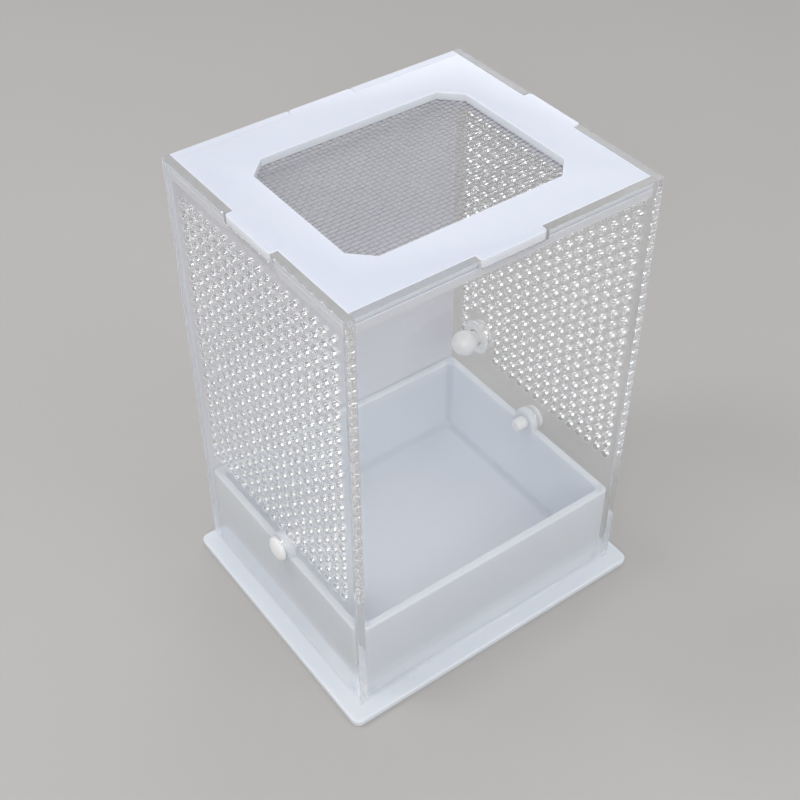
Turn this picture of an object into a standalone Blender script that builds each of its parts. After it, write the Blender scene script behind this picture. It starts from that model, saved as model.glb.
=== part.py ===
"""Small acrylic display enclosure for a spider.

A frosted tray stands on a white base plate, inside four glued acrylic walls.
The side walls are drilled for air.
The lid drops in flush between the walls and hangs by four tabs in notches.
It is two sheets with a woven screen between them.
Two nylon pins lock the walls to the tray's ears, and a ball-headed plug closes a feeding port.
Units are metres, +Z is up, +X is right, and the front faces -Y.
The origin is on the base plate's underside, below the middle of the walls.
"""

import math

import bmesh
import bpy
from mathutils import Vector

# Sheet and fits
SHEET = 0.003
FIT_GAP = 0.0003
RUNNING_GAP = 0.0003

# Walls, measured over their outside faces
BODY_WIDTH = 0.120
BODY_DEPTH = 0.103
WALL_HEIGHT = 0.178

# Base plate, which stands out less at the back
BASE_THICKNESS = 0.003
BASE_OVERHANG = 0.006
BASE_BACK_OVERHANG = 0.002
BASE_CORNER_RADIUS = 0.003
BASE_EDGE_ROUND = 0.0006

# Lid
LID_THICKNESS = 0.003
TAB_WIDTH = 0.025
TAB_CORNER_RADIUS = 0.0012
WINDOW_WIDTH = 0.084
WINDOW_DEPTH = 0.064
WINDOW_CHAMFER = 0.007

# Woven screen under the window, and the frame that holds it from below
SCREEN_THICKNESS = 0.0004
SCREEN_LAP = 0.004
SCREEN_COLUMNS = 15
SCREEN_ROWS = 11
SCREEN_STRAND = 0.0009
FRAME_THICKNESS = 0.003
FRAME_SET_BACK = 0.0013

# Tray
TRAY_WALL = 0.003
TRAY_FLOOR = 0.003
TRAY_RIM_HEIGHT = 0.042
TRAY_CORNER_RADIUS = 0.0025
TRAY_INNER_RADIUS = 0.003
EAR_RADIUS = 0.0055
EAR_SIDES = 32

# Locking pins, on one line across the enclosure
PIN_Y = -0.002
PIN_ABOVE_RIM = 0.0015
PIN_RADIUS = 0.0027
PIN_REACH = 0.0045
PIN_TIP_ROUND = 0.001
PIN_HEAD_RADIUS = 0.0048
PIN_HEAD_RIM = 0.0006
PIN_HEAD_HEIGHT = 0.0026

# Feeding port in the right wall
PORT_FROM_BACK = 0.0195
PORT_ABOVE_RIM = 0.0213
PORT_HOLE_RADIUS = 0.0053
GROMMET_BORE_RADIUS = 0.0033
GROMMET_INNER_FLANGE_RADIUS = 0.0072
GROMMET_OUTER_FLANGE_RADIUS = 0.0065
GROMMET_FLANGE = 0.0012
PLUG_BALL_RADIUS = 0.0052
PLUG_TAIL = 0.0008

# Air holes in the side walls: the grid of the real panel, of which this model keeps every second hole
AIR_HOLE_RADIUS = 0.0015
AIR_HOLE_SIDES = 6
AIR_PITCH_Y = 0.005
AIR_PITCH_Z = 0.0049
AIR_MIDDLE_Y = -0.001
AIR_SIDE_MARGIN = 0.009
AIR_TOP_MARGIN = 0.0118
AIR_ABOVE_PIN = 0.013
AIR_CLEAR_OF_FLANGE = 0.002

ROUND_SIDES = 24
CORNER_STEPS = 4

# Places that follow from the sizes above
HALF_WIDTH = BODY_WIDTH / 2
HALF_DEPTH = BODY_DEPTH / 2
INNER_X = HALF_WIDTH - SHEET
INNER_Y = HALF_DEPTH - SHEET
WALL_TOP = BASE_THICKNESS + WALL_HEIGHT
WALL_FOOT = BASE_THICKNESS + FIT_GAP
LID_UNDERSIDE = WALL_TOP - LID_THICKNESS
SCREEN_UNDERSIDE = LID_UNDERSIDE - FIT_GAP - SCREEN_THICKNESS
NOTCH_FLOOR = LID_UNDERSIDE - FIT_GAP
NOTCH_HALF = TAB_WIDTH / 2 + FIT_GAP
TRAY_X = INNER_X - FIT_GAP
TRAY_Y = INNER_Y - FIT_GAP
TRAY_FOOT = BASE_THICKNESS + FIT_GAP
PIN_Z = TRAY_RIM_HEIGHT + PIN_ABOVE_RIM
PIN_HOLE_RADIUS = PIN_RADIUS + RUNNING_GAP
PORT_Y = HALF_DEPTH - PORT_FROM_BACK
PORT_Z = TRAY_RIM_HEIGHT + PORT_ABOVE_RIM
AIR_FIRST_Z = PIN_Z + AIR_ABOVE_PIN

# Rotations that stand a flat plate up, and that lay a turned piece along X
FACING_FRONT = (math.pi / 2, 0, 0)
FACING_SIDE = (math.pi / 2, 0, math.pi / 2)
AXIS_TO_RIGHT = (0, math.pi / 2, 0)
AXIS_TO_LEFT = (0, -math.pi / 2, 0)


def clear_scene():
    for scene_object in list(bpy.data.objects):
        bpy.data.objects.remove(scene_object, do_unlink=True)


def material(name, color, roughness, alpha=1.0, metallic=0.0):
    """Principled material with one colour."""
    made = bpy.data.materials.new(name)
    made.use_nodes = True
    shader = made.node_tree.nodes["Principled BSDF"]
    shader.inputs["Base Color"].default_value = (*color, 1.0)
    shader.inputs["Roughness"].default_value = roughness
    shader.inputs["Metallic"].default_value = metallic
    shader.inputs["Alpha"].default_value = alpha
    return made


def add_object(name, bm, surface, location=(0, 0, 0), rotation=(0, 0, 0)):
    """Turn a bmesh into a placed, smooth-shaded object with its material."""
    bmesh.ops.recalc_face_normals(bm, faces=bm.faces)
    mesh = bpy.data.meshes.new(name)
    bm.to_mesh(mesh)
    bm.free()
    mesh.shade_smooth()
    mesh.set_sharp_from_angle(angle=math.radians(35))
    placed = bpy.data.objects.new(name, mesh)
    placed.location = location
    placed.rotation_euler = rotation
    if surface:
        placed.data.materials.append(surface)
    bpy.context.collection.objects.link(placed)
    return placed


def arc(centre, radius, start, end, steps):
    """Points of an arc, from one angle to the other, both ends included."""
    angles = [start + (end - start) * step / steps for step in range(steps + 1)]
    return [(centre[0] + radius * math.cos(a), centre[1] + radius * math.sin(a)) for a in angles]


def circle(centre, radius, sides):
    """Closed ring of points, the first at a half step so that flats lie level."""
    half_step = math.pi / sides
    return arc(centre, radius, half_step, 2 * math.pi - half_step, sides - 1)


def rounded_rectangle(half_u, half_v, radius, steps):
    """Rectangle about the origin with rounded corners, counter-clockwise."""
    points = []
    for quarter, (sign_u, sign_v) in enumerate(((1, 1), (-1, 1), (-1, -1), (1, -1))):
        centre = (sign_u * (half_u - radius), sign_v * (half_v - radius))
        points += arc(centre, radius, quarter * math.pi / 2, (quarter + 1) * math.pi / 2, steps)
    return points


def plate(loops, thickness):
    """Flat sheet in the local XY plane from 0 up to its thickness: outline first, then the holes."""
    bm = bmesh.new()
    for loop in loops:
        corners = [bm.verts.new((u, v, 0)) for u, v in loop]
        for corner, following in zip(corners, corners[1:] + corners[:1]):
            bm.edges.new((corner, following))
    bmesh.ops.triangle_fill(bm, edges=bm.edges, use_beauty=True, use_dissolve=False)
    extruded = bmesh.ops.extrude_face_region(bm, geom=bm.faces[:])
    raised = [item for item in extruded["geom"] if isinstance(item, bmesh.types.BMVert)]
    bmesh.ops.translate(bm, vec=Vector((0, 0, thickness)), verts=raised)
    return bm


def turned(profile, sides=ROUND_SIDES, closed=False):
    """Solid of revolution about local Z from (radius, height) points, which may form a closed ring."""
    bm = bmesh.new()
    corners = [bm.verts.new((radius, 0, height)) for radius, height in profile]
    edges = [bm.edges.new(pair) for pair in zip(corners, corners[1:])]
    if closed:
        edges.append(bm.edges.new((corners[-1], corners[0])))
    bmesh.ops.spin(
        bm,
        geom=corners + edges,
        axis=(0, 0, 1),
        cent=(0, 0, 0),
        angle=2 * math.pi,
        steps=sides,
        use_merge=True,
    )
    bmesh.ops.remove_doubles(bm, verts=bm.verts, dist=1e-6)
    return bm


def cut(target, cutter):
    """Hide a cutter and take it out of the target."""
    cutter.hide_render = True
    cutter.display_type = "WIRE"
    difference = target.modifiers.new(cutter.name, "BOOLEAN")
    difference.operation = "DIFFERENCE"
    difference.solver = "EXACT"
    difference.object = cutter


def base_plate(surface):
    """Rounded plate under everything, with softened rims."""
    half_width = HALF_WIDTH + BASE_OVERHANG
    half_depth = HALF_DEPTH + (BASE_OVERHANG + BASE_BACK_OVERHANG) / 2
    middle_y = (BASE_BACK_OVERHANG - BASE_OVERHANG) / 2
    outline = rounded_rectangle(half_width, half_depth, BASE_CORNER_RADIUS, CORNER_STEPS)
    base = add_object("base_plate", plate([outline], BASE_THICKNESS), surface, (0, middle_y, 0))
    rim = base.modifiers.new("rim", "BEVEL")
    rim.width = BASE_EDGE_ROUND
    rim.segments = 1
    rim.limit_method = "ANGLE"
    rim.angle_limit = math.radians(60)
    return base


def wall_outline(half_width):
    """Upright wall from its foot to the top, with the notch that takes a lid tab."""
    return [
        (-half_width, WALL_FOOT),
        (half_width, WALL_FOOT),
        (half_width, WALL_TOP),
        (NOTCH_HALF, WALL_TOP),
        (NOTCH_HALF, NOTCH_FLOOR),
        (-NOTCH_HALF, NOTCH_FLOOR),
        (-NOTCH_HALF, WALL_TOP),
        (-half_width, WALL_TOP),
    ]


def whole_steps(span, pitch):
    """Number of whole pitches in a span, forgiving the last bit of rounding."""
    return math.floor(span / pitch + 1e-6)


def air_holes(clear_of_port):
    """Every second hole of the air grid, less those under the port's flange where that is asked."""
    holes = []
    columns = 1 + whole_steps(BODY_DEPTH - 2 * AIR_SIDE_MARGIN, AIR_PITCH_Y)
    rows = 1 + whole_steps(WALL_TOP - AIR_TOP_MARGIN - AIR_FIRST_Z, AIR_PITCH_Z)
    first_y = AIR_MIDDLE_Y - AIR_PITCH_Y * (columns - 1) / 2
    port = Vector((PORT_Y, PORT_Z))
    clear_radius = GROMMET_INNER_FLANGE_RADIUS + AIR_CLEAR_OF_FLANGE
    for row in range(rows):
        for column in range(row % 2, columns, 2):
            centre = Vector((first_y + column * AIR_PITCH_Y, AIR_FIRST_Z + row * AIR_PITCH_Z))
            if clear_of_port and (centre - port).length < clear_radius:
                continue
            holes.append(circle(centre, AIR_HOLE_RADIUS, AIR_HOLE_SIDES))
    return holes


def side_walls(surface):
    """Full-depth left and right walls with air holes and a pin hole, and the port's hole at the right."""
    pin_hole = circle((PIN_Y, PIN_Z), PIN_HOLE_RADIUS, ROUND_SIDES)
    port_hole = circle((PORT_Y, PORT_Z), PORT_HOLE_RADIUS, ROUND_SIDES)
    outline = wall_outline(HALF_DEPTH)
    left = plate([outline, pin_hole] + air_holes(False), SHEET)
    add_object("left_panel", left, surface, (-HALF_WIDTH, 0, 0), FACING_SIDE)
    right = plate([outline, pin_hole, port_hole] + air_holes(True), SHEET)
    add_object("right_panel", right, surface, (INNER_X, 0, 0), FACING_SIDE)


def end_walls(clear, white):
    """Front and back walls, standing between the side walls."""
    outline = wall_outline(INNER_X - FIT_GAP)
    add_object("front_panel", plate([outline], SHEET), clear, (0, -INNER_Y, 0), FACING_FRONT)
    add_object("back_panel", plate([outline], SHEET), white, (0, HALF_DEPTH, 0), FACING_FRONT)


def tab_outline(plate_half, tab_reach, side):
    """Rounded end of one lid tab on side 0 to 3, counter-clockwise, in the lid's own plane."""
    half_tab = TAB_WIDTH / 2
    radius = TAB_CORNER_RADIUS
    points = [(plate_half, -half_tab)]
    points += arc((tab_reach - radius, -half_tab + radius), radius, -math.pi / 2, 0, CORNER_STEPS)
    points += arc((tab_reach - radius, half_tab - radius), radius, 0, math.pi / 2, CORNER_STEPS)
    points.append((plate_half, half_tab))
    turn = side * math.pi / 2
    cosine, sine = round(math.cos(turn)), round(math.sin(turn))
    return [(u * cosine - v * sine, u * sine + v * cosine) for u, v in points]


def lid_plate(surface):
    """White lid with a tab on each edge and the eight-sided window."""
    half_width = INNER_X - FIT_GAP
    half_depth = INNER_Y - FIT_GAP
    outline = []
    reaches = ((half_width, HALF_WIDTH), (half_depth, HALF_DEPTH))
    for side, (sign_x, sign_y) in enumerate(((1, 1), (-1, 1), (-1, -1), (1, -1))):
        plate_half, tab_reach = reaches[side % 2]
        outline += tab_outline(plate_half, tab_reach, side)
        outline.append((sign_x * half_width, sign_y * half_depth))
    lid = plate([outline, window_outline(0)], LID_THICKNESS)
    return add_object("lid_plate", lid, surface, (0, 0, LID_UNDERSIDE))


def window_outline(grow):
    """Eight-sided window, or the same shape grown outwards for the screen."""
    half_u = WINDOW_WIDTH / 2 + grow
    half_v = WINDOW_DEPTH / 2 + grow
    points = []
    for sign_u, sign_v in ((1, 1), (-1, 1), (-1, -1), (1, -1)):
        on_side = (sign_u * half_u, sign_v * (half_v - WINDOW_CHAMFER))
        on_end = (sign_u * (half_u - WINDOW_CHAMFER), sign_v * half_v)
        points += [on_side, on_end] if sign_u * sign_v > 0 else [on_end, on_side]
    return points


def lid_screen(surface):
    """Woven screen as a flat net behind the window, glued under the lid."""
    pitch_u = WINDOW_WIDTH / SCREEN_COLUMNS
    pitch_v = WINDOW_DEPTH / SCREEN_ROWS
    half_u = (pitch_u - SCREEN_STRAND) / 2
    half_v = (pitch_v - SCREEN_STRAND) / 2
    loops = [window_outline(SCREEN_LAP)]
    for column in range(SCREEN_COLUMNS):
        for row in range(SCREEN_ROWS):
            u = pitch_u * (column + 0.5) - WINDOW_WIDTH / 2
            v = pitch_v * (row + 0.5) - WINDOW_DEPTH / 2
            if abs(u) + abs(v) <= (WINDOW_WIDTH + WINDOW_DEPTH) / 2 - WINDOW_CHAMFER:
                corners = ((half_u, half_v), (-half_u, half_v), (-half_u, -half_v), (half_u, -half_v))
                loops.append([(u + across, v + along) for across, along in corners])
    net = plate(loops, SCREEN_THICKNESS)
    return add_object("lid_mesh", net, surface, (0, 0, SCREEN_UNDERSIDE))


def screen_frame(surface):
    """Plain frame under the screen, its opening set back a little from the window."""
    half_width = INNER_X - FIT_GAP
    half_depth = INNER_Y - FIT_GAP
    corners = ((1, 1), (-1, 1), (-1, -1), (1, -1))
    outline = [(across * half_width, along * half_depth) for across, along in corners]
    frame = plate([outline, window_outline(FRAME_SET_BACK)], FRAME_THICKNESS)
    underside = SCREEN_UNDERSIDE - FIT_GAP - FRAME_THICKNESS
    return add_object("screen_frame", frame, surface, (0, 0, underside))


def round_edges(bm, edges, radius):
    bmesh.ops.bevel(bm, geom=edges, offset=radius, segments=CORNER_STEPS, profile=0.5, affect="EDGES")


def tray_block(surface):
    """Tray's outer shape: its end view, with the ear's hump, drawn across the full width."""
    ear_rise = TRAY_RIM_HEIGHT - PIN_Z
    start = math.asin(ear_rise / EAR_RADIUS)
    hump = arc((PIN_Y, PIN_Z), EAR_RADIUS, start, math.pi - start, EAR_SIDES // 2)
    end_view = [(-TRAY_Y, TRAY_FOOT), (TRAY_Y, TRAY_FOOT), (TRAY_Y, TRAY_RIM_HEIGHT)]
    end_view += hump + [(-TRAY_Y, TRAY_RIM_HEIGHT)]
    block = plate([end_view], 2 * TRAY_X)
    uprights = [
        edge
        for edge in block.edges
        if all(abs(abs(vert.co.x) - TRAY_Y) < 1e-6 for vert in edge.verts)
        and abs(edge.verts[0].co.z - edge.verts[1].co.z) < 1e-6
        and abs(edge.verts[0].co.x - edge.verts[1].co.x) < 1e-6
    ]
    round_edges(block, uprights, TRAY_CORNER_RADIUS)
    return add_object("tray", block, surface, (-TRAY_X, 0, 0), FACING_SIDE)


def tray_cavity():
    """Cutter for the tray's inside, with rounded corners all round and at the floor."""
    half_x = TRAY_X - TRAY_WALL
    half_y = TRAY_Y - TRAY_WALL
    top = PIN_Z + 2 * EAR_RADIUS
    outline = [(half_x, half_y), (-half_x, half_y), (-half_x, -half_y), (half_x, -half_y)]
    cavity = plate([outline], top - TRAY_FOOT - TRAY_FLOOR)
    rounded = [edge for edge in cavity.edges if min(vert.co.z for vert in edge.verts) < 1e-6]
    rounded = [edge for edge in rounded if len(edge.link_faces) == 2 and edge.calc_face_angle() > 1]
    round_edges(cavity, rounded, TRAY_INNER_RADIUS)
    return add_object("tray_cavity", cavity, None, (0, 0, TRAY_FOOT + TRAY_FLOOR))


def pin_bore():
    """Cutter through both ears, on the pins' line."""
    length = 2 * HALF_WIDTH
    bore = turned([(0, 0), (PIN_HOLE_RADIUS, 0), (PIN_HOLE_RADIUS, length), (0, length)])
    return add_object("pin_bore", bore, None, (-HALF_WIDTH, PIN_Y, PIN_Z), AXIS_TO_RIGHT)


def tray(surface):
    """One-piece frosted tray with two ears."""
    body = tray_block(surface)
    cut(body, tray_cavity())
    cut(body, pin_bore())
    return body


def pin_profile():
    """Pin along local Z with the wall's outside face at 0: tip, shank, then domed head."""
    tip = -(SHEET + FIT_GAP + TRAY_WALL + PIN_REACH)
    seat = FIT_GAP
    crown = seat + PIN_HEAD_HEIGHT
    rim = seat + PIN_HEAD_RIM
    profile = [(0, tip)]
    profile += arc((PIN_RADIUS - PIN_TIP_ROUND, tip + PIN_TIP_ROUND), PIN_TIP_ROUND, -math.pi / 2, 0, 2)
    profile += [(PIN_RADIUS, seat), (PIN_HEAD_RADIUS, seat)]
    dome_height = crown - rim
    for step in range(5):
        angle = step / 4 * math.pi / 2
        profile.append((PIN_HEAD_RADIUS * math.cos(angle), rim + dome_height * math.sin(angle)))
    profile[-1] = (0, crown)
    return profile


def pins(surface):
    """Left and right locking pins, each pushed in from outside."""
    add_object("left_pin", turned(pin_profile()), surface, (-HALF_WIDTH, PIN_Y, PIN_Z), AXIS_TO_LEFT)
    add_object("right_pin", turned(pin_profile()), surface, (HALF_WIDTH, PIN_Y, PIN_Z), AXIS_TO_RIGHT)


def port_grommet(surface):
    """Flanged bush in the port's hole; its local origin is on the wall's inside face."""
    neck = PORT_HOLE_RADIUS - FIT_GAP
    inner_face = -FIT_GAP - GROMMET_FLANGE
    outer_seat = SHEET + FIT_GAP
    profile = [
        (GROMMET_BORE_RADIUS, inner_face),
        (GROMMET_INNER_FLANGE_RADIUS, inner_face),
        (GROMMET_INNER_FLANGE_RADIUS, -FIT_GAP),
        (neck, -FIT_GAP),
        (neck, outer_seat),
        (GROMMET_OUTER_FLANGE_RADIUS, outer_seat),
        (GROMMET_OUTER_FLANGE_RADIUS, outer_seat + GROMMET_FLANGE),
        (GROMMET_BORE_RADIUS, outer_seat + GROMMET_FLANGE),
    ]
    ring = turned(profile, closed=True)
    return add_object("port_grommet", ring, surface, (INNER_X, PORT_Y, PORT_Z), AXIS_TO_RIGHT)


def port_plug(surface):
    """Ball on a shank; the local origin is the ball's centre, on the line it slides along."""
    shank = GROMMET_BORE_RADIUS - RUNNING_GAP
    grommet_inner_face = INNER_X - FIT_GAP - GROMMET_FLANGE
    centre_x = grommet_inner_face - RUNNING_GAP - PLUG_BALL_RADIUS
    tail = HALF_WIDTH + FIT_GAP + GROMMET_FLANGE + PLUG_TAIL - centre_x
    neck_angle = math.acos(shank / PLUG_BALL_RADIUS)
    profile = arc((0, 0), PLUG_BALL_RADIUS, -math.pi / 2, neck_angle, 10)
    profile[0] = (0, -PLUG_BALL_RADIUS)
    profile += [(shank, tail), (0, tail)]
    return add_object("port_plug", turned(profile), surface, (centre_x, PORT_Y, PORT_Z), AXIS_TO_RIGHT)


def build():
    clear_scene()
    white = material("white_acrylic", (0.82, 0.85, 0.92), 0.12)
    milky = material("milky_acrylic", (0.74, 0.78, 0.84), 0.25)
    clear = material("clear_acrylic", (0.86, 0.88, 0.90), 0.05, alpha=0.3)
    frosted = material("frosted_plastic", (0.60, 0.64, 0.70), 0.45)
    wire = material("screen_wire", (0.35, 0.36, 0.38), 0.45, metallic=0.6)
    nylon = material("white_nylon", (0.78, 0.78, 0.74), 0.4)
    silicone = material("clear_silicone", (0.72, 0.74, 0.74), 0.3, alpha=0.6)
    base_plate(milky)
    tray(frosted)
    side_walls(clear)
    end_walls(clear, white)
    lid_plate(white)
    lid_screen(wire)
    screen_frame(white)
    pins(nylon)
    port_grommet(silicone)
    port_plug(nylon)


build()
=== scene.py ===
"""Looks of the acrylic spider enclosure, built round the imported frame.

Every piece is a surface worked out with numpy as whole arrays of points, in metres, at its own place in the CAD
frame: sheets are outlines carried down a profile of rings, the tray is a rim line carried along a wall profile,
turned pieces are a profile carried round an axis, and the screen is a wave carried along each wire.
"""

import math

import bpy
import numpy as np
from mathutils import Matrix, Vector
from mathutils.geometry import delaunay_2d_cdt


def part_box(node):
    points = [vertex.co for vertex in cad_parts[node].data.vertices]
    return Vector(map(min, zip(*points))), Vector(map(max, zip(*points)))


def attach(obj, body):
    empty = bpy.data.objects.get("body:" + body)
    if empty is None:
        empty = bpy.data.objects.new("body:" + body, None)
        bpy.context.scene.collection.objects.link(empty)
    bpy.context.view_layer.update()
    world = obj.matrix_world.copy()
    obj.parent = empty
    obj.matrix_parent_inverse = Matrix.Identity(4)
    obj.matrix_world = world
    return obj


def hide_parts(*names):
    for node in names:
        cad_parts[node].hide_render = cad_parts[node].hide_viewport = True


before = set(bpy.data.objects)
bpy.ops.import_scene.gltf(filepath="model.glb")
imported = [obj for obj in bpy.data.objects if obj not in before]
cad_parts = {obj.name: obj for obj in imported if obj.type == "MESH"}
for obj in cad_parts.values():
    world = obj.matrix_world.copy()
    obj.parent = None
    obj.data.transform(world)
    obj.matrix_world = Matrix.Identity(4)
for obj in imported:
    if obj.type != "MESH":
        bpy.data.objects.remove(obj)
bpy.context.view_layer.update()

MM = 0.001


# Sheets

def circle(centre, radius, sides):
    """Clockwise ring of points, so that the sheet lies on its left: centre plus radius times (cos a, -sin a)."""
    turn = np.arange(sides) * 2 * math.pi / sides
    return np.stack([centre[0] + radius * np.cos(turn), centre[1] - radius * np.sin(turn)], -1)


def corner_arc(centre, radius, start, end, steps):
    """Arc about a centre from one angle to another, in degrees, both ends included."""
    turn = np.radians(np.linspace(start, end, steps + 1))
    return np.stack([centre[0] + radius * np.cos(turn), centre[1] + radius * np.sin(turn)], -1)


def towards_sheet(loop):
    """Direction into the material at each point of a loop: the mitre of the left normals of its two edges."""
    ahead = np.roll(loop, -1, axis=0) - loop
    ahead /= np.linalg.norm(ahead, axis=1, keepdims=True)
    left = np.stack([-ahead[:, 1], ahead[:, 0]], -1)
    before = np.roll(left, 1, axis=0)
    return (left + before) / (1 + (left * before).sum(1, keepdims=True))


def sheet(loops, low, high, rims, steps=1):
    """Flat sheet between two heights. Each loop is carried down a profile whose rims are quarter rounds, its own rim
    times (1 - sin a, 1 - cos a) in and down, and the face fills the first loop less the others. Returns the points,
    the triangles of both faces, and the quads of the walls by ring and by place along the loops."""
    loop = np.concatenate(loops)
    sizes = np.array([len(one) for one in loops])
    rim = np.repeat(np.broadcast_to(rims, len(loops)), sizes)
    inward = np.concatenate([towards_sheet(one) for one in loops]) * rim[:, None]
    owner = np.repeat(np.arange(len(loops)), sizes)
    first = np.repeat(np.cumsum(sizes) - sizes, sizes)
    here = np.arange(len(loop))
    after = first + (here - first + 1) % np.repeat(sizes, sizes)
    ease = [(1 - math.sin(a), 1 - math.cos(a)) for a in np.linspace(0, math.pi / 2, steps + 1)]
    rings = [(inset, high - drop * rim) for inset, drop in ease]
    rings += [(inset, low + drop * rim) for inset, drop in ease[::-1]]
    points = np.concatenate([np.column_stack([loop + inset * inward, height]) for inset, height in rings])
    flat = points[: len(loop), :2]
    fill = delaunay_2d_cdt([Vector(p) for p in flat.tolist()], np.stack([here, after], -1).tolist(), [], 2, 1e-9)
    face = np.array(fill[2])
    in_hole = (owner[face] == owner[face[:, :1]]).all(1) & (owner[face[:, 0]] > 0)
    face = face[~in_hole]
    last = len(loop) * (len(rings) - 1)
    faces = np.concatenate([face, face[:, ::-1] + last])
    quad = np.stack([here, here + len(loop), after + len(loop), after], -1)
    walls = np.stack([quad + len(loop) * ring for ring in range(len(rings) - 1)])
    return points, faces, walls


# Surfaces on a grid

def grid_faces(rows, columns, round_rows=False, round_columns=False):
    """Quads of a grid of points numbered row by row, joined round where a way closes on itself."""
    row, column = np.meshgrid(
        np.arange(rows - (not round_rows)), np.arange(columns - (not round_columns)), indexing="ij"
    )
    row_after = (row + 1) % rows
    column_after = (column + 1) % columns
    corners = [row * columns + column, row * columns + column_after]
    corners += [row_after * columns + column_after, row_after * columns + column]
    return np.stack(corners, -1).reshape(-1, 4)


def turned(profile, centre, way, sides=48, ring=False):
    """Profile of (along, radius) carried round a line through centre that runs along X in the way +1 or -1: the
    point is centre + (way * along, radius * cos a, radius * sin a). A profile that is no ring starts and ends on the
    axis. Known fault: the faces of all that it makes point inwards."""
    along, radius = np.array(profile, float).T
    turn = np.arange(sides) * 2 * math.pi / sides
    points = np.stack(
        [
            centre[0] + way * np.repeat(along[:, None], sides, 1),
            centre[1] + radius[:, None] * np.cos(turn),
            centre[2] + radius[:, None] * np.sin(turn),
        ],
        -1,
    )
    rows = len(along)
    if ring:
        quads = grid_faces(rows, sides, round_rows=True, round_columns=True)
        return points.reshape(-1, 3), [quads if way < 0 else quads[:, ::-1]]
    body = points[1:-1].reshape(-1, 3)
    first, last = len(body), len(body) + 1
    here = np.arange(sides)
    after = (here + 1) % sides
    ends = (rows - 3) * sides
    quads = grid_faces(rows - 2, sides, round_columns=True)
    caps = np.concatenate(
        [
            np.stack([np.full(sides, first), after, here], -1),
            np.stack([np.full(sides, last), here + ends, after + ends], -1),
        ]
    )
    body = np.concatenate([body, points[:1, 0], points[-1:, 0]])
    if way > 0:
        quads, caps = quads[:, ::-1], caps[:, ::-1]
    return body, [quads, caps]


def wires(count, reach, pitch, bend, phase, radius, samples, sides):
    """Round wires that weave over and under: each runs along u from -reach to +reach at its own v, a pitch from the
    next, with the height radius * cos(pi * (u / bend + phase + its number)), and its section is a ring of that
    radius. Known fault: the faces that close the wires' ends point inwards."""
    number = np.arange(count) - (count - 1) / 2
    v = number * pitch
    u = np.linspace(-1, 1, samples)[None, :] * reach(v)[:, None]
    lift = radius * np.cos(math.pi * (u / bend + phase + np.arange(count)[:, None]))
    turn = np.arange(sides) * 2 * math.pi / sides
    points = np.stack(
        [
            np.repeat(u[..., None], sides, 2),
            v[:, None, None] + radius * np.cos(turn) + 0 * u[..., None],
            lift[..., None] + radius * np.sin(turn),
        ],
        -1,
    )
    each = grid_faces(samples, sides, round_columns=True)
    first = (np.arange(count) * samples * sides)[:, None]
    quads = (each[None] + first[..., None]).reshape(-1, 4)
    near = first + np.arange(sides)[None]
    far = near + (samples - 1) * sides
    return points.reshape(-1, 3), quads, near, far[:, ::-1]


def piece(name, points, flat, smooth, finishes, body, nodes, angle=40, wears=0):
    """Mesh object at the origin from points, flat faces and smooth faces, riding on a body in place of CAD nodes.
    wears is the number of the finish on each smooth face, and the flat ones take the first."""
    mesh = bpy.data.meshes.new(name)
    smooth = [part.reshape(-1, part.shape[-1]) for part in smooth]
    faces = [row for part in flat + smooth for row in part.tolist()]
    mesh.from_pydata(points.tolist(), [], faces)
    plain = sum(map(len, flat))
    shading = np.arange(len(faces)) >= plain
    mesh.polygons.foreach_set("use_smooth", shading)
    mesh.set_sharp_from_angle(angle=math.radians(angle))
    for finish in finishes:
        mesh.materials.append(finish)
    number = np.zeros(len(faces), np.int32)
    number[plain:] = np.ravel(wears)
    mesh.polygons.foreach_set("material_index", number)
    made = bpy.data.objects.new(name, mesh)
    bpy.context.collection.objects.link(made)
    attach(made, body)
    if nodes:
        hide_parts(*nodes)
    return made


# Sizes of the real sheets, from the CAD frame

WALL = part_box("left_panel")
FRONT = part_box("front_panel")
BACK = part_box("back_panel")
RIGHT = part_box("right_panel")
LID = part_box("lid_plate")
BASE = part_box("base_plate")
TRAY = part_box("tray")
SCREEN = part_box("lid_mesh")
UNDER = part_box("screen_frame")

NOTCH_HALF = 12.8 * MM
NOTCH_FLOOR = LID[0][2] - 0.3 * MM
PIN_Y, PIN_Z = -2 * MM, 43.5 * MM
PORT_Y, PORT_Z = 32 * MM, 63.3 * MM
PIN_HOLE = 3.0 * MM
PORT_HOLE = 5.3 * MM
PORT_CLEAR = 9.2 * MM
AIR_HOLE = 1.5 * MM
EDGE = 0.12 * MM
HOLE_RIM = 0.15 * MM
GLUE = 0.03 * MM

# The tray, the lid and its under frame reach this far from the middle, just short of the walls round them
ROOM_X, ROOM_Y = RIGHT[0][0] - 0.05 * MM, BACK[0][1] - 0.05 * MM

TRAY_RIM = 42 * MM
TRAY_WALL = 3 * MM
EAR = 5.5 * MM

# Numbers of the finishes on a clear sheet, in the order of its materials, and of the edges' finish on a white one
FACE, CUT, JOINT, TOP, BORE, RIM = range(6)
WHITE_EDGE = 1

# Numbers of the edges of a wall's outline
FOOT, UPRIGHTS, TOP_AND_NOTCH = 0, [1, 7], slice(2, 7)


def wall_outline(half_width, foot, top):
    """Upright sheet with the notch for a lid tab, counter-clockwise from its foot."""
    return np.array(
        [
            (-half_width, foot),
            (half_width, foot),
            (half_width, top),
            (NOTCH_HALF, top),
            (NOTCH_HALF, NOTCH_FLOOR),
            (-NOTCH_HALF, NOTCH_FLOOR),
            (-NOTCH_HALF, top),
            (-half_width, top),
        ]
    )


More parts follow.
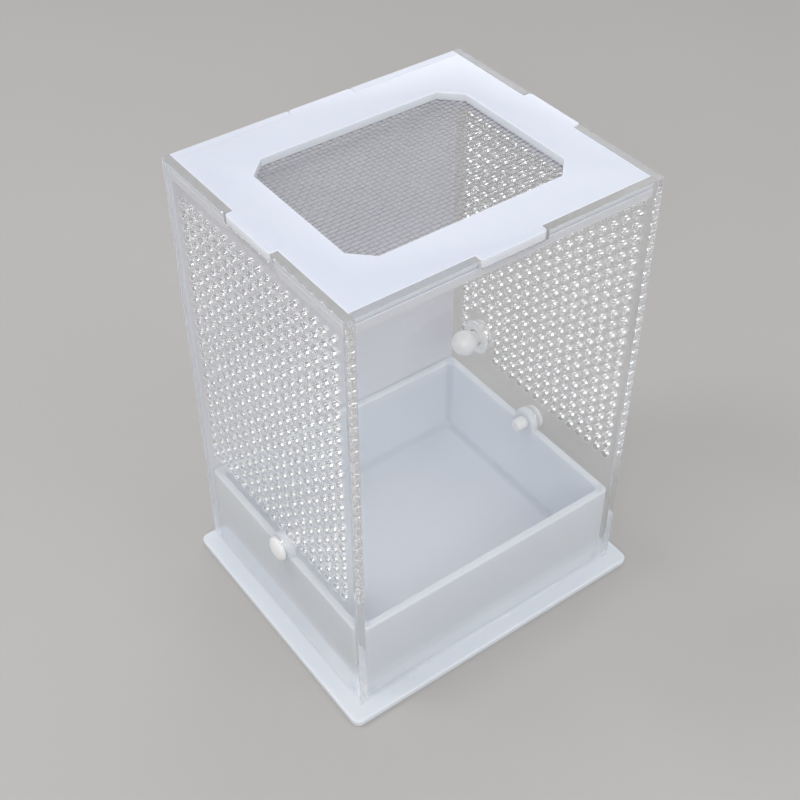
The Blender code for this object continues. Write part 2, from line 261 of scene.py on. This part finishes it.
def air_holes(clear_of_port):
    """Rings of the drilled grid, 18 by 24, less those under the port's flange where there is one."""
    y, z = np.meshgrid((-43.5 + 5 * np.arange(18)) * MM, (56.5 + 4.9 * np.arange(24)) * MM)
    centres = np.stack([y.ravel(), z.ravel()], -1)
    if clear_of_port:
        centres = centres[np.hypot(centres[:, 0] - PORT_Y, centres[:, 1] - PORT_Z) > PORT_CLEAR]
    return [circle(centre, AIR_HOLE, 20) for centre in centres]


def side_wall(name, node, box, port, finishes):
    """Drilled side sheet, drawn in Y and Z and given its thickness along X."""
    outline = wall_outline(box[1][1], BASE[1][2] + GLUE, box[1][2])
    loops = [outline, circle((PIN_Y, PIN_Z), PIN_HOLE, 40)]
    if port:
        loops.append(circle((PORT_Y, PORT_Z), PORT_HOLE, 48))
    loops += air_holes(port)
    rims = [EDGE] + [HOLE_RIM] * (len(loops) - 1)
    points, faces, walls = sheet(loops, box[0][0], box[1][0], rims)
    points = points[:, [2, 0, 1]]
    wears = np.full(walls.shape[:2], RIM)
    wears[1] = BORE
    wears[:, : len(outline)] = CUT
    wears[:, TOP_AND_NOTCH] = TOP
    wears[:, FOOT] = JOINT
    return piece(name, points, [faces], [walls], finishes, "enclosure", [node], wears=wears)


def end_wall(name, node, box, finishes, joint, top):
    """Plain front or back sheet, drawn in X and Z and given its thickness along -Y. Its foot and both upright edges,
    which are glued, take the joint's finish, and the rest of its edge the top's."""
    outline = wall_outline(RIGHT[0][0] - GLUE, BASE[1][2] + GLUE, box[1][2])
    points, faces, walls = sheet([outline], -box[1][1], -box[0][1], EDGE)
    points = points[:, [0, 2, 1]] * (1, -1, 1)
    wears = np.full(walls.shape[:2], top)
    wears[:, [FOOT, *UPRIGHTS]] = joint
    return piece(name, points, [faces], [walls], finishes, "enclosure", [node], wears=wears)


def tabbed_outline():
    """Lid's outline: a rectangle with a rounded tab in the middle of each side, counter-clockwise."""
    half, radius = 12.5 * MM, 1.2 * MM
    outline = []
    for side, (plate, reach) in enumerate(((ROOM_X, LID[1][0]), (ROOM_Y, LID[1][1])) * 2):
        tab = np.concatenate(
            [
                [(plate, -half)],
                corner_arc((reach - radius, -half + radius), radius, -90, 0, 6),
                corner_arc((reach - radius, half - radius), radius, 0, 90, 6),
                [(plate, half)],
            ]
        )
        turn = side * math.pi / 2
        cosine, sine = round(math.cos(turn)), round(math.sin(turn))
        outline.append(tab @ np.array([(cosine, sine), (-sine, cosine)]))
        sign_x, sign_y = ((1, 1), (-1, 1), (-1, -1), (1, -1))[side]
        outline.append([(sign_x * ROOM_X, sign_y * ROOM_Y)])
    return np.concatenate(outline)


def window_outline(grow=0.0):
    """Eight-sided opening, clockwise, its sides moved out by a length."""
    half_x, half_y, cut = 42 * MM + grow, 32 * MM + grow, 7 * MM
    corners = [(half_x, half_y - cut), (half_x, cut - half_y), (half_x - cut, -half_y), (cut - half_x, -half_y)]
    corners += [(-half_x, cut - half_y), (-half_x, half_y - cut), (cut - half_x, half_y), (half_x - cut, half_y)]
    return np.array(corners)


def lid(finishes):
    """Tabbed frame: its faces take the first finish and its cut edges the second."""
    rims = (0.06 * MM, 0.25 * MM)
    points, faces, walls = sheet([tabbed_outline(), window_outline()], LID[0][2], LID[1][2], rims, 3)
    return piece(
        "lid_frame", points, [faces], [walls], finishes, "lid", ["lid_plate"], wears=WHITE_EDGE
    )


def under_frame(finish):
    """Plain frame that holds the screen from below, its opening set back a little from the window."""
    outline = np.array([(ROOM_X, ROOM_Y), (-ROOM_X, ROOM_Y), (-ROOM_X, -ROOM_Y), (ROOM_X, -ROOM_Y)])
    points, faces, walls = sheet([outline, window_outline(1.3 * MM)], UNDER[0][2], SCREEN[0][2] - GLUE, EDGE)
    return piece("under_frame", points, [faces], [walls], [finish], "lid", ["screen_frame"])


def base(finish):
    """Base plate: a rectangle with rounded corners."""
    radius = 3 * MM
    left, right, front, back = BASE[0][0] + radius, BASE[1][0] - radius, BASE[0][1] + radius, BASE[1][1] - radius
    corners = [(right, back, 0), (left, back, 90), (left, front, 180), (right, front, 270)]
    outline = np.concatenate([corner_arc((x, y), radius, start, start + 90, 12) for x, y, start in corners])
    points, faces, walls = sheet([outline], BASE[0][2], BASE[1][2], 0.6 * MM, 4)
    return piece("base_sheet", points, [faces], [walls], [finish], "enclosure", ["base_plate"])


def screen(finish):
    """Woven screen: wires along X and along Y, each ending on the eight-sided outline that laps under the lid."""
    half_x, half_y, cut = 46 * MM, 36 * MM, 7 * MM
    middle = (SCREEN[0][2] + SCREEN[1][2]) / 2
    slope = half_x + half_y - cut

    def reach_x(v):
        """Half the length of a wire along X that lies at v."""
        return np.minimum(half_x, slope - np.abs(v))

    def reach_y(v):
        """Half the length of a wire along Y that lies at v."""
        return np.minimum(half_y, slope - np.abs(v))

    made = []
    weft_pitch, warp_pitch = 1.82 * MM, 2.0 * MM
    for name, count, pitch, bend, reach, samples, phase, radius in (
        ("screen_weft", 39, weft_pitch, warp_pitch, reach_x, 185, 0, 0.115 * MM),
        ("screen_warp", 45, warp_pitch, weft_pitch, reach_y, 159, 1, 0.09 * MM),
    ):
        points, quads, near, far = wires(count, reach, pitch, bend, phase, radius, samples, 5)
        if name == "screen_warp":
            points = points[:, [1, 0, 2]]
            quads, near, far = quads[:, ::-1], near[:, ::-1], far[:, ::-1]
        points = points + (0, 0, middle)
        made.append(piece(name, points, [near, far], [quads], [finish], "lid", [], 80))
    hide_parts("lid_mesh")
    return made


# Tray

def tray_side():
    """Y and the rim's height at each column of a side wall of the tray, from back to front. Over the ear the rim is
    an arc about the pin's centre, (y, z) = pin + ear * (cos a, sin a), and beside it the rim is level."""
    reach = 42 * MM
    turn = np.radians(np.linspace(0, 180, 33))
    foot = EAR + 0.12 * MM
    beside = np.linspace(0, 1, 9)
    behind = PIN_Y + foot + beside[::-1] * (reach - PIN_Y - foot)
    before = PIN_Y - foot - beside * (reach + PIN_Y - foot)
    level = np.full(len(beside), TRAY_RIM)
    y = np.concatenate([behind, PIN_Y + EAR * np.cos(turn), before])
    z = np.concatenate([level, PIN_Z + EAR * np.sin(turn), level])
    return y, z


def tray(finish):
    """Each column of its rim line is carried up the outer wall from a rounded foot, over the rim, down the inner
    wall, round a quarter-round fillet and onto the floor. The rim's edges are quarter rounds of their own radius."""
    foot, floor, waist = TRAY[0][2], TRAY[0][2] + TRAY_WALL, 34 * MM
    ease, fillet = 0.8 * MM, 3 * MM
    outer_corner, inner_corner = 2.5 * MM, 3 * MM
    ear_y, ear_z = tray_side()
    straight_x = np.linspace(50, -50, 25) * MM
    level = np.full(len(straight_x), TRAY_RIM)
    # Right, back, left and front side, each with the corner that follows it
    sides = [(ear_y[::-1], ear_z[::-1]), (straight_x, level), (ear_y, ear_z), (straight_x[::-1], level)]
    corner = np.linspace(0, math.pi / 2, 9)

    def outline(inset, radius):
        """Rounded rectangle set in by a length, as one row of points for all columns."""
        reach = np.array([ROOM_X - inset, ROOM_Y - inset])
        row = []
        for side, (along, _) in enumerate(sides):
            across = np.full(len(along), reach[side % 2] * (1 if side < 2 else -1))
            row.append(np.stack([across, along] if side % 2 == 0 else [along, across], -1))
            turn = corner + side * math.pi / 2
            sign = np.array(((1, 1), (-1, 1), (-1, -1), (1, -1))[side])
            row.append(sign * (reach - radius) + radius * np.stack([np.cos(turn), np.sin(turn)], -1))
        return np.concatenate(row)

    height = np.concatenate([np.append(rim, np.full(len(corner), TRAY_RIM)) for _, rim in sides])
    # The rim's own direction: across its line in the wall's plane, which is straight up but for the ears
    line = outline(0, outer_corner)
    ahead = np.roll(line, -1, axis=0) - np.roll(line, 1, axis=0)
    run = np.linalg.norm(ahead, axis=1)
    ahead /= run[:, None]
    rise = np.roll(height, -1) - np.roll(height, 1)
    lean, up = -rise / np.hypot(rise, run), run / np.hypot(rise, run)
    rows = []

    def at_level(inset, radius, z):
        """Adds a row of points at one height."""
        flat = outline(inset, radius)
        rows.append(np.column_stack([flat, np.full(len(flat), z)]))

    def below_rim(inset, radius, drop):
        """Adds a row of points a drop below the rim, each measured along the rim's own direction there."""
        flat = outline(inset, radius) - ahead * (lean * drop)[:, None]
        rows.append(np.column_stack([flat, height - up * drop]))

    for turn in np.linspace(math.pi / 2, 0, 4):
        inset = ease * (1 - math.cos(turn))
        at_level(inset, outer_corner - inset, foot + ease * (1 - math.sin(turn)))
    at_level(0, outer_corner, waist)
    for turn in np.linspace(0, math.pi / 2, 5):
        inset = ease * (1 - math.cos(turn))
        below_rim(inset, outer_corner - inset, ease * (1 - math.sin(turn)))
    for turn in np.linspace(math.pi / 2, 0, 5):
        inset = ease * (1 - math.cos(turn))
        below_rim(TRAY_WALL - inset, inner_corner - inset, ease * (1 - math.sin(turn)))
    at_level(TRAY_WALL, inner_corner, waist)
    for turn in np.linspace(0, math.pi / 2, 7):
        inset = fillet * (1 - math.cos(turn))
        at_level(TRAY_WALL + inset, max(inner_corner - inset, 0.05 * MM), floor + fillet * (1 - math.sin(turn)))

    count = len(line)
    quads = grid_faces(len(rows), count, round_columns=True)
    under = np.arange(count)[None, ::-1]
    inside = (np.arange(count) + count * (len(rows) - 1))[None]
    made = piece(
        "frosted_tray", np.concatenate(rows), [under, inside], [quads], [finish], "enclosure", ["tray"],
        50,
    )
    bore(made)
    return made


def bore(target):
    """Outlines the pins' holes on both ears, with one rod that runs through the whole width. Known fault: it was meant
    to cut them, but the rod's faces point inwards, so the holes stay closed."""
    start, length = -65 * MM, 130 * MM
    across = turned(
        [(0, 0), (0, PIN_HOLE), (length, PIN_HOLE), (length, 0)], (start, PIN_Y, PIN_Z), 1, sides=40
    )
    mesh = bpy.data.meshes.new("drill")
    mesh.from_pydata(across[0].tolist(), [], [row for part in across[1] for row in part.tolist()])
    drill = bpy.data.objects.new("drill", mesh)
    bpy.context.collection.objects.link(drill)
    cut = target.modifiers.new("bore", "BOOLEAN")
    cut.operation, cut.solver, cut.object = "DIFFERENCE", "EXACT", drill
    bpy.context.view_layer.update()
    result = bpy.data.meshes.new_from_object(target.evaluated_get(bpy.context.evaluated_depsgraph_get()))
    target.modifiers.clear()
    target.data = result
    bpy.data.objects.remove(drill)


# Turned pieces

def half_round(centre, radius, start, end, steps):
    """Arc of a turned profile as (along, radius) pairs; angles in degrees from the axis."""
    turn = np.radians(np.linspace(start, end, steps + 1))
    return [(centre[0] + radius * math.cos(a), centre[1] + radius * math.sin(a)) for a in turn]


def locking_pin(name, node, way, finish):
    """Push-in pin: rounded tip, straight shank, flat seat and a domed head; 0 is the wall's outside face."""
    shank, tip, tip_round = 2.7 * MM, -10.8 * MM, 1.0 * MM
    head, seat, rim, crown = 4.8 * MM, 0.3 * MM, 0.9 * MM, 2.9 * MM
    profile = [(tip, 0)]
    profile += half_round((tip + tip_round, shank - tip_round), tip_round, 180, 90, 6)
    profile += [(seat, shank), (seat, head - 0.15 * MM), (seat + 0.15 * MM, head), (rim, head)]
    dome = np.radians(np.linspace(0, 90, 13))[1:-1]
    profile += [(rim + (crown - rim) * math.sin(a), head * math.cos(a)) for a in dome]
    profile.append((crown, 0))
    points, parts = turned(profile, (way * 60 * MM, PIN_Y, PIN_Z), way)
    return piece(name, points, [], parts, [finish], node, [node], 35)


def port_bush(finish):
    """Soft flanged bush: rounded flanges on both faces of the right wall."""
    bore_radius, neck = 3.3 * MM, 5.0 * MM
    inner, outer, thick, soft = 7.2 * MM, 6.5 * MM, 1.2 * MM, 0.45 * MM
    # Each flange seats a little way off the wall's face, whose inner one is at 0
    inner_seat, outer_seat = -0.3 * MM, 3.3 * MM
    low, high = inner_seat - thick, outer_seat + thick
    profile = half_round((low + soft, bore_radius + soft), soft, 270, 180, 4)
    profile += half_round((low + soft, inner - soft), soft, 180, 90, 5)
    profile += half_round((inner_seat - soft, inner - soft), soft, 90, 0, 5)
    profile += [(inner_seat, neck), (outer_seat, neck)]
    profile += half_round((outer_seat + soft, outer - soft), soft, 180, 90, 5)
    profile += half_round((high - soft, outer - soft), soft, 90, 0, 5)
    profile += half_round((high - soft, bore_radius + soft), soft, 0, -90, 4)
    points, parts = turned(profile, (57 * MM, PORT_Y, PORT_Z), 1, ring=True)
    return piece("port_bush", points, [], parts, [finish], "enclosure", ["port_grommet"], 50)


def ball_plug(finish):
    """Ball-headed plug, its shank through the bush."""
    ball, shank = 5.2 * MM, 3.0 * MM
    centre = 50.0 * MM
    tail = 62.3 * MM - centre
    neck = math.degrees(math.asin(shank / ball))
    profile = half_round((0, 0), ball, 180, neck, 24)
    profile[0] = (-ball, 0)
    profile += half_round((tail - 0.5 * MM, shank - 0.5 * MM), 0.5 * MM, 90, 0, 4)
    profile.append((tail, 0))
    points, parts = turned(profile, (centre, PORT_Y, PORT_Z), 1)
    return piece("ball_plug", points, [], parts, [finish], "plug", ["port_plug"], 35)


# Materials

ACRYLIC_IOR = 1.49
SILICONE_IOR = 1.41


def new_finish(name):
    """Material with its node tree, its Principled shader and object coordinates."""
    made = bpy.data.materials.new(name)
    made.use_nodes = True
    tree = made.node_tree
    shader = tree.nodes["Principled BSDF"]
    place = tree.nodes.new("ShaderNodeTexCoord").outputs["Object"]
    return made, tree, shader, place


def worked_out(tree, kind, operation, values, output=0):
    """Result of a Math or Vector Math node whose inputs are sockets or plain values."""
    node = tree.nodes.new(kind)
    node.operation = operation
    for socket, value in zip(node.inputs, values):
        if isinstance(value, bpy.types.NodeSocket):
            tree.links.new(value, socket)
        else:
            socket.default_value = value
    return node.outputs[output]


def maths(tree, operation, *values):
    """Result of a Math node."""
    return worked_out(tree, "ShaderNodeMath", operation, values)


def vector_maths(tree, operation, *values, output="Vector"):
    """Result of a Vector Math node."""
    return worked_out(tree, "ShaderNodeVectorMath", operation, values, output)


def grain(tree, place, scale, detail=3.0, stretch=(1, 1, 1)):
    """Noise in object coordinates, from 0 to 1, stretched along the axes where asked."""
    if stretch != (1, 1, 1):
        mapping = tree.nodes.new("ShaderNodeMapping")
        mapping.inputs["Scale"].default_value = stretch
        tree.links.new(place, mapping.inputs["Vector"])
        place = mapping.outputs["Vector"]
    noise = tree.nodes.new("ShaderNodeTexNoise")
    noise.inputs["Scale"].default_value = scale
    noise.inputs["Detail"].default_value = detail
    tree.links.new(place, noise.inputs["Vector"])
    return noise.outputs["Fac"]


def spread(tree, value, low, high, start_at=0.3, end_at=0.7):
    """Value from start_at to end_at taken to low to high."""
    ramp = tree.nodes.new("ShaderNodeMapRange")
    ramp.inputs["From Min"].default_value = start_at
    ramp.inputs["From Max"].default_value = end_at
    ramp.inputs["To Min"].default_value = low
    ramp.inputs["To Max"].default_value = high
    tree.links.new(value, ramp.inputs["Value"])
    return ramp.outputs["Result"]


def blend(tree, share, first, second):
    """Colour between two by a share. The first may come from another blend."""
    mix = tree.nodes.new("ShaderNodeMix")
    mix.data_type = "RGBA"
    if isinstance(first, bpy.types.NodeSocket):
        tree.links.new(first, mix.inputs[6])
    else:
        mix.inputs[6].default_value = (*first, 1)
    mix.inputs[7].default_value = (*second, 1)
    tree.links.new(share, mix.inputs[0])
    return mix.outputs[2]


def tones(tree, shader, place, scale, detail, first, second):
    """Base colour that clouds between two tones."""
    tree.links.new(blend(tree, grain(tree, place, scale, detail), first, second), shader.inputs["Base Color"])


def gloss(tree, shader, place, scale, low, high, detail=3):
    """Roughness that varies finely between two values."""
    tree.links.new(spread(tree, grain(tree, place, scale, detail), low, high), shader.inputs["Roughness"])


def see_through(shader, weight, ior):
    """Lets a share of the view through, bent as in a solid."""
    shader.inputs["Transmission Weight"].default_value = weight
    shader.inputs["IOR"].default_value = ior


def glow_through(shader, depth):
    """Lets light spread inside a milky piece, about as far as its depth."""
    shader.inputs["Subsurface Weight"].default_value = 1.0
    shader.inputs["Subsurface Radius"].default_value = (1.0, 1.0, 1.0)
    shader.inputs["Subsurface Scale"].default_value = depth


def relief(tree, shader, height, depth):
    """Bump of a depth in metres from a height between 0 and 1."""
    bump = tree.nodes.new("ShaderNodeBump")
    bump.inputs["Distance"].default_value = depth
    bump.inputs["Strength"].default_value = 1.0
    tree.links.new(height, bump.inputs["Height"])
    tree.links.new(bump.outputs["Normal"], shader.inputs["Normal"])


def crease_shade_mask(tree, place, corner, near, far):
    """Mask for the painted shade along the tray's inner creases: 1 within a short reach of them, falling to 0 further
    out. With q the absolute place less the inner corner, the distance is the root of the least of qx^2 + qz^2, qy^2 +
    qz^2 and qx^2 + qy^2."""
    offset = vector_maths(tree, "SUBTRACT", vector_maths(tree, "ABSOLUTE", place), corner)
    split = tree.nodes.new("ShaderNodeSeparateXYZ")
    tree.links.new(vector_maths(tree, "MULTIPLY", offset, offset), split.inputs[0])
    x, y, z = split.outputs
    at_floor = maths(tree, "ADD", maths(tree, "MINIMUM", x, y), z)
    least = maths(tree, "MINIMUM", at_floor, maths(tree, "ADD", x, y))
    return spread(tree, maths(tree, "SQRT", least), 1.0, 0.0, near, far)


def let_through(tree, shader, share, tint):
    """Makes a share of the surface plainly transparent, in a tint."""
    clear = tree.nodes.new("ShaderNodeBsdfTransparent")
    clear.inputs["Color"].default_value = (*tint, 1)
    mix = tree.nodes.new("ShaderNodeMixShader")
    tree.links.new(share, mix.inputs[0])
    tree.links.new(shader.outputs[0], mix.inputs[1])
    tree.links.new(clear.outputs[0], mix.inputs[2])
    tree.links.new(mix.outputs[0], tree.nodes["Material Output"].inputs["Surface"])


def light_passes(tree, shader, tint):
    """Lets lamps and diffuse light through clear sheet unbent, so that what is inside is lit, and lets out a ray that
    the sheet has turned back four times."""
    path = tree.nodes.new("ShaderNodeLightPath").outputs
    trapped = maths(tree, "GREATER_THAN", path["Glossy Depth"], 3.5)
    lighting = maths(tree, "MAXIMUM", path["Is Shadow Ray"], path["Is Diffuse Ray"])
    let_through(tree, shader, maths(tree, "MAXIMUM", lighting, trapped), tint)


def shade_passes(tree, shader, share, tint):
    """Lets a share of the lamps' light through each face of a milky piece, so that what stands behind it is lit."""
    path = tree.nodes.new("ShaderNodeLightPath").outputs
    let_through(tree, shader, maths(tree, "MULTIPLY", path["Is Shadow Ray"], share), tint)


def clear_sheet():
    """Polished face of the clear acrylic sheet."""
    made, tree, shader, place = new_finish("clear_sheet")
    tones(tree, shader, place, 90, 4, (0.970, 0.974, 0.975), (0.99, 0.992, 0.992))
    gloss(tree, shader, place, 400, 0.0, 0.03)
    see_through(shader, 1.0, ACRYLIC_IOR)
    light_passes(tree, shader, (0.965, 0.968, 0.97))
    return made


def cut_edge():
    """Upright edge of a clear sheet, in which a fifth of the light scatters."""
    made, tree, shader, place = new_finish("cut_edge")
    tones(tree, shader, place, 60, 3, (0.88, 0.88, 0.88), (0.93, 0.93, 0.925))
    gloss(tree, shader, place, 900, 0.0, 0.03)
    see_through(shader, 0.8, ACRYLIC_IOR)
    light_passes(tree, shader, (0.93, 0.94, 0.94))
    return made


def top_edge_painted_shade():
    """Top edge and notch of a clear sheet, less clear than its upright edges and painted a darker grey to stand in for
    the shade seen in it.
    """
    made, tree, shader, place = new_finish("top_edge_painted_shade")
    # Painted shade: grey tones darker than the upright edges' own, so the top edges look shaded.
    tones(tree, shader, place, 60, 3, (0.54, 0.54, 0.545), (0.63, 0.63, 0.63))
    gloss(tree, shader, place, 900, 0.0, 0.03)
    see_through(shader, 0.6, ACRYLIC_IOR)
    light_passes(tree, shader, (0.93, 0.94, 0.94))
    return made


def glued_joint():
    """Edge that is glued to its neighbour, which light crosses almost unbent."""
    made, tree, shader, place = new_finish("glued_joint")
    tones(tree, shader, place, 200, 3, (0.93, 0.93, 0.93), (0.98, 0.98, 0.98))
    gloss(tree, shader, place, 500, 0.0, 0.03)
    see_through(shader, 1.0, 1.02)
    light_passes(tree, shader, (0.965, 0.968, 0.97))
    return made


def drilled_bore():
    """Wall of a drilled hole, with fine lines along the sheet's thickness."""
    made, tree, shader, place = new_finish("drilled_bore")
    tones(tree, shader, place, 300, 3, (0.94, 0.94, 0.94), (0.98, 0.98, 0.98))
    gloss(tree, shader, place, 900, 0.01, 0.05)
    see_through(shader, 1.0, ACRYLIC_IOR)
    relief(tree, shader, grain(tree, place, 2500, 2, stretch=(0.04, 1, 1)), 0.00001)
    light_passes(tree, shader, (0.95, 0.95, 0.95))
    return made


def hole_rim():
    """Rim of a drilled hole, whitened by the drill."""
    made, tree, shader, place = new_finish("hole_rim")
    tones(tree, shader, place, 500, 3, (0.92, 0.92, 0.92), (0.98, 0.98, 0.98))
    gloss(tree, shader, place, 900, 0.1, 0.15)
    see_through(shader, 0.5, ACRYLIC_IOR)
    light_passes(tree, shader, (0.9, 0.9, 0.9))
    return made


def white_sheet():
    """Face of the lid's white acrylic sheet, a cool white."""
    made, tree, shader, place = new_finish("white_sheet")
    tones(tree, shader, place, 25, 2, (0.72, 0.76, 0.86), (0.76, 0.79, 0.88))
    gloss(tree, shader, place, 900, 0.06, 0.14)
    relief(tree, shader, grain(tree, place, 60, 2), 0.00001)
    glow_through(shader, 0.001)
    shade_passes(tree, shader, 0.58, (0.96, 0.97, 1.0))
    return made


def white_cut_painted_glow():
    """Cut edge of the lid's sheet, painted paler than its face to stand in for the light that the sheet carries out at
    its edges.
    """
    made, tree, shader, place = new_finish("white_cut_painted_glow")
    # Painted light: these tones are paler than the face's, so the cut edges glow as if lit from within the sheet.
    tones(tree, shader, place, 40, 2, (0.80, 0.84, 0.94), (0.84, 0.87, 0.96))
    gloss(tree, shader, place, 900, 0.1, 0.2)
    glow_through(shader, 0.0005)
    shade_passes(tree, shader, 0.58, (0.96, 0.97, 1.0))
    return made


def back_sheet():
    """White sheet of the back wall and the under frame, less blue than the lid."""
    made, tree, shader, place = new_finish("back_sheet")
    tones(tree, shader, place, 25, 2, (0.77, 0.775, 0.82), (0.80, 0.805, 0.845))
    gloss(tree, shader, place, 900, 0.08, 0.16)
    relief(tree, shader, grain(tree, place, 60, 2), 0.00001)
    glow_through(shader, 0.001)
    shade_passes(tree, shader, 0.58, (0.96, 0.97, 1.0))
    return made


def milky_sheet():
    """Milky acrylic of the base plate."""
    made, tree, shader, place = new_finish("milky_sheet")
    tones(tree, shader, place, 30, 2, (0.75, 0.785, 0.835), (0.79, 0.82, 0.865))
    gloss(tree, shader, place, 700, 0.14, 0.26)
    relief(tree, shader, grain(tree, place, 80, 2), 0.00001)
    glow_through(shader, 0.001)
    return made


def frosted_plastic():
    """Frosted plastic of the tray, with painted shade along its inner creases."""
    made, tree, shader, place = new_finish("frosted_plastic")
    cloud = blend(tree, grain(tree, place, 40, 3), (0.74, 0.775, 0.825), (0.78, 0.81, 0.85))
    corner = (ROOM_X - TRAY_WALL, ROOM_Y - TRAY_WALL, TRAY[0][2] + TRAY_WALL)
    # Painted shade: near the inner creases the colour is darkened towards a fixed tone, standing in for the shade that
    # falls there.
    painted_crease_shade = crease_shade_mask(tree, place, corner, 1.2 * MM, 2.8 * MM)
    tree.links.new(blend(tree, painted_crease_shade, cloud, (0.68, 0.72, 0.775)), shader.inputs["Base Color"])
    gloss(tree, shader, place, 1200, 0.36, 0.5)
    relief(tree, shader, grain(tree, place, 2500, 2), 0.000015)
    glow_through(shader, 0.0025)
    shade_passes(tree, shader, 0.55, (0.97, 0.98, 1.0))
    return made


def screen_wire():
    """Grey drawn wire of the screen."""
    made, tree, shader, place = new_finish("screen_wire")
    tones(tree, shader, place, 300, 2, (0.34, 0.34, 0.37), (0.48, 0.48, 0.51))
    gloss(tree, shader, place, 2000, 0.12, 0.24, 2)
    shader.inputs["Metallic"].default_value = 1.0
    return made


def nylon():
    """White nylon of the pins and the plug."""
    made, tree, shader, place = new_finish("white_nylon")
    tones(tree, shader, place, 150, 3, (0.95, 0.95, 0.935), (0.98, 0.98, 0.965))
    gloss(tree, shader, place, 1500, 0.25, 0.38)
    relief(tree, shader, grain(tree, place, 1200, 2), 0.00002)
    glow_through(shader, 0.0004)
    return made


def silicone():
    """Cloudy clear silicone of the port's bush."""
    made, tree, shader, place = new_finish("clear_silicone")
    tones(tree, shader, place, 200, 3, (0.94, 0.94, 0.93), (0.98, 0.98, 0.97))
    gloss(tree, shader, place, 1000, 0.22, 0.36)
    see_through(shader, 0.3, SILICONE_IOR)
    return made


def floor_finish():
    """Plain pale floor, matt."""
    made, tree, shader, place = new_finish("pale_floor")
    tones(tree, shader, place, 3, 3, (0.50, 0.485, 0.47), (0.53, 0.515, 0.50))
    shader.inputs["Roughness"].default_value = 0.85
    shader.inputs["Specular IOR Level"].default_value = 0.2
    return made


# Stage

def floor():
    """Pale floor as a broad disc: rings of points at growing radii, r (cos a, sin a, 0)."""
    radius = np.array([0.3, 0.8, 2.0, 5.0])
    sides = 64
    turn = np.arange(sides) * 2 * math.pi / sides
    rings = radius[:, None, None] * np.stack([np.cos(turn), np.sin(turn), 0 * turn], -1)
    quads = grid_faces(len(radius), sides, round_columns=True)[:, ::-1]
    mesh = bpy.data.meshes.new("floor")
    mesh.from_pydata(rings.reshape(-1, 3).tolist(), [], [list(range(sides))] + quads.tolist())
    mesh.materials.append(floor_finish())
    made = bpy.data.objects.new("floor", mesh)
    bpy.context.collection.objects.link(made)


def lamp(name, place, aim, width, height, watts):
    """Oval soft lamp."""
    light = bpy.data.lights.new(name, "AREA")
    light.shape, light.size, light.size_y = "ELLIPSE", width, height
    light.energy, light.color = watts, (1.0, 0.99, 0.98)
    made = bpy.data.objects.new(name, light)
    made.location = place
    made.rotation_euler = (Vector(aim) - Vector(place)).to_track_quat("-Z", "Y").to_euler()
    bpy.context.collection.objects.link(made)


def sky():
    """Soft room light, its strength rising evenly from the horizon to straight overhead, with a paler patch low
    behind the right-hand side that shows in the lid's gloss."""
    world = bpy.data.worlds.new("room")
    world.use_nodes = True
    tree = world.node_tree
    back = tree.nodes["Background"]
    place = tree.nodes.new("ShaderNodeTexCoord").outputs["Generated"]
    split = tree.nodes.new("ShaderNodeSeparateXYZ")
    tree.links.new(place, split.inputs[0])
    strength = spread(tree, split.outputs["Z"], 0.35, 0.70, 0.0, 1.0)
    towards_patch = (0.714, 0.655, 0.248)
    nearness = vector_maths(tree, "DOT_PRODUCT", place, towards_patch, output="Value")
    patch = spread(tree, nearness, 0.0, 1.8, 0.90, 1.0)
    tree.links.new(maths(tree, "ADD", strength, patch), back.inputs["Strength"])
    back.inputs["Color"].default_value = (0.97, 0.98, 1.0, 1)
    bpy.context.scene.world = world


def camera():
    """Camera fitted to the photograph's edges: its place, its aim, a quarter degree of roll, and the lens."""
    place, aim = Vector((-0.2122, -0.2859, 0.4096)), Vector((-0.00165, 0.0037, 0.080))
    back = (place - aim).normalized()
    right = Vector((0, 0, 1)).cross(back).normalized()
    up = back.cross(right)
    roll = -0.0048
    across = math.cos(roll) * right + math.sin(roll) * up
    upward = -math.sin(roll) * right + math.cos(roll) * up
    data = bpy.data.cameras.new("camera")
    data.lens, data.sensor_width = 59.9, 36
    data.clip_start, data.clip_end = 0.01, 20
    made = bpy.data.objects.new("camera", data)
    made.matrix_world = Matrix(
        [(across[i], upward[i], back[i], place[i]) for i in range(3)] + [(0, 0, 0, 1)]
    )
    bpy.context.collection.objects.link(made)
    bpy.context.scene.camera = made


# One finish for each of FACE, CUT, JOINT, TOP, BORE and RIM
clear = [clear_sheet(), cut_edge(), glued_joint(), top_edge_painted_shade(), drilled_bore(), hole_rim()]
white = white_sheet()
inner_white = back_sheet()
side_wall("drilled_left_wall", "left_panel", WALL, False, clear)
side_wall("drilled_right_wall", "right_panel", RIGHT, True, clear)
end_wall("front_window", "front_panel", FRONT, clear[:4], JOINT, TOP)
end_wall("back_wall", "back_panel", BACK, [inner_white, white], WHITE_EDGE, WHITE_EDGE)
lid([white, white_cut_painted_glow()])
under_frame(inner_white)
base(milky_sheet())
screen(screen_wire())
tray(frosted_plastic())
nylon_finish = nylon()
locking_pin("left_locking_pin", "left_pin", -1, nylon_finish)
locking_pin("right_locking_pin", "right_pin", 1, nylon_finish)
port_bush(silicone())
ball_plug(nylon_finish)

floor()
sky()
lamp("window_light", (-0.5, 0.35, 0.9), (0, 0, 0.08), 0.3, 0.3, 2.3)
lamp("front_light", (-1.2, -1.36, 1.34), (0, 0, 0.08), 1.0, 1.0, 14)
lamp("strip_light", (0.68, -0.95, 1.05), (0, 0, 0.1), 0.8, 0.25, 1.5)
lamp("low_strip_light", (0.62, -1.3, 0.32), (0, 0, 0.1), 0.6, 0.15, 1.5)
camera()
bpy.context.scene.view_settings.view_transform = "Standard"
